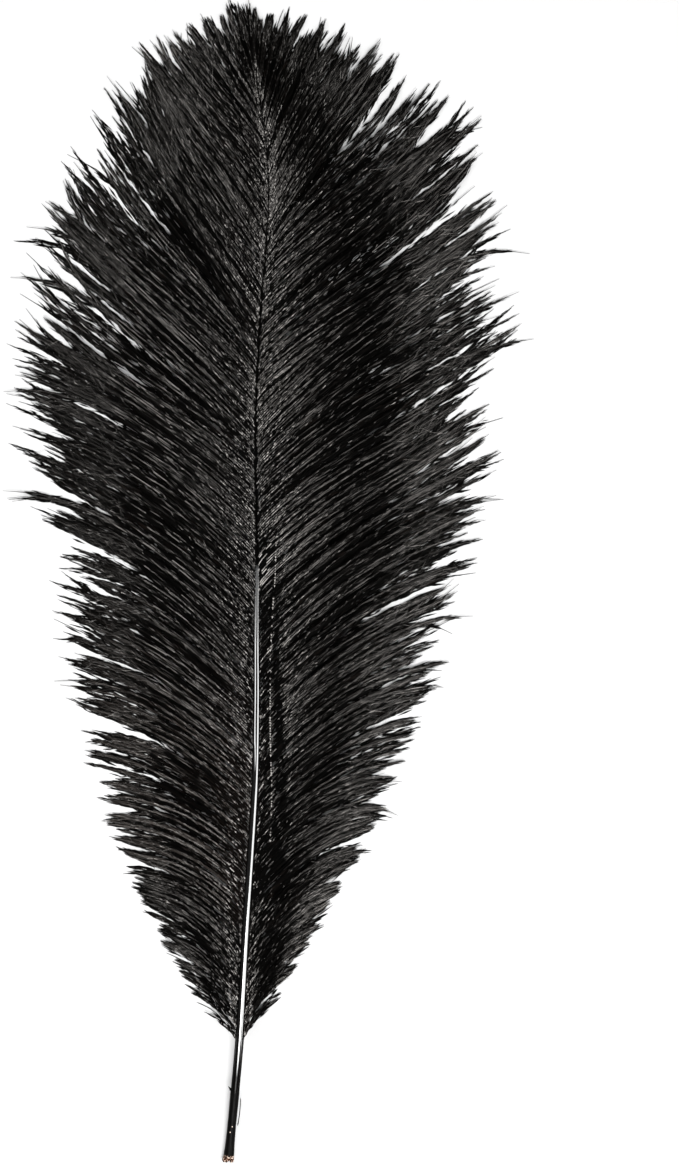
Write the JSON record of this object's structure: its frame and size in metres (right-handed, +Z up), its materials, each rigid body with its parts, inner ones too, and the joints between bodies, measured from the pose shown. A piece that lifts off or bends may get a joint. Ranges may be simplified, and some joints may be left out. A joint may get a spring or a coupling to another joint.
{
  "type": "ostrich feather",
  "caption": "Black ostrich plume lying flat: a glossy tapering shaft with a bare quill and soft loose barbs on both sides.",
  "frame": {"origin": "middle of the footprint, on the surface that the feather lies on", "axes": "+Y from the cut quill to the tip, +Z up out of the upper face, +X to the right seen from above with the tip away"},
  "size_m": [0.2261, 0.5335, 0.0156],
  "materials": {
    "shaft": "gloss",
    "barbs": "satin"
  },
  "bodies": {
    "root": {"shaft": "shaft", "left_vane": "barbs", "right_vane": "barbs"}
  },
  "joints": []
}
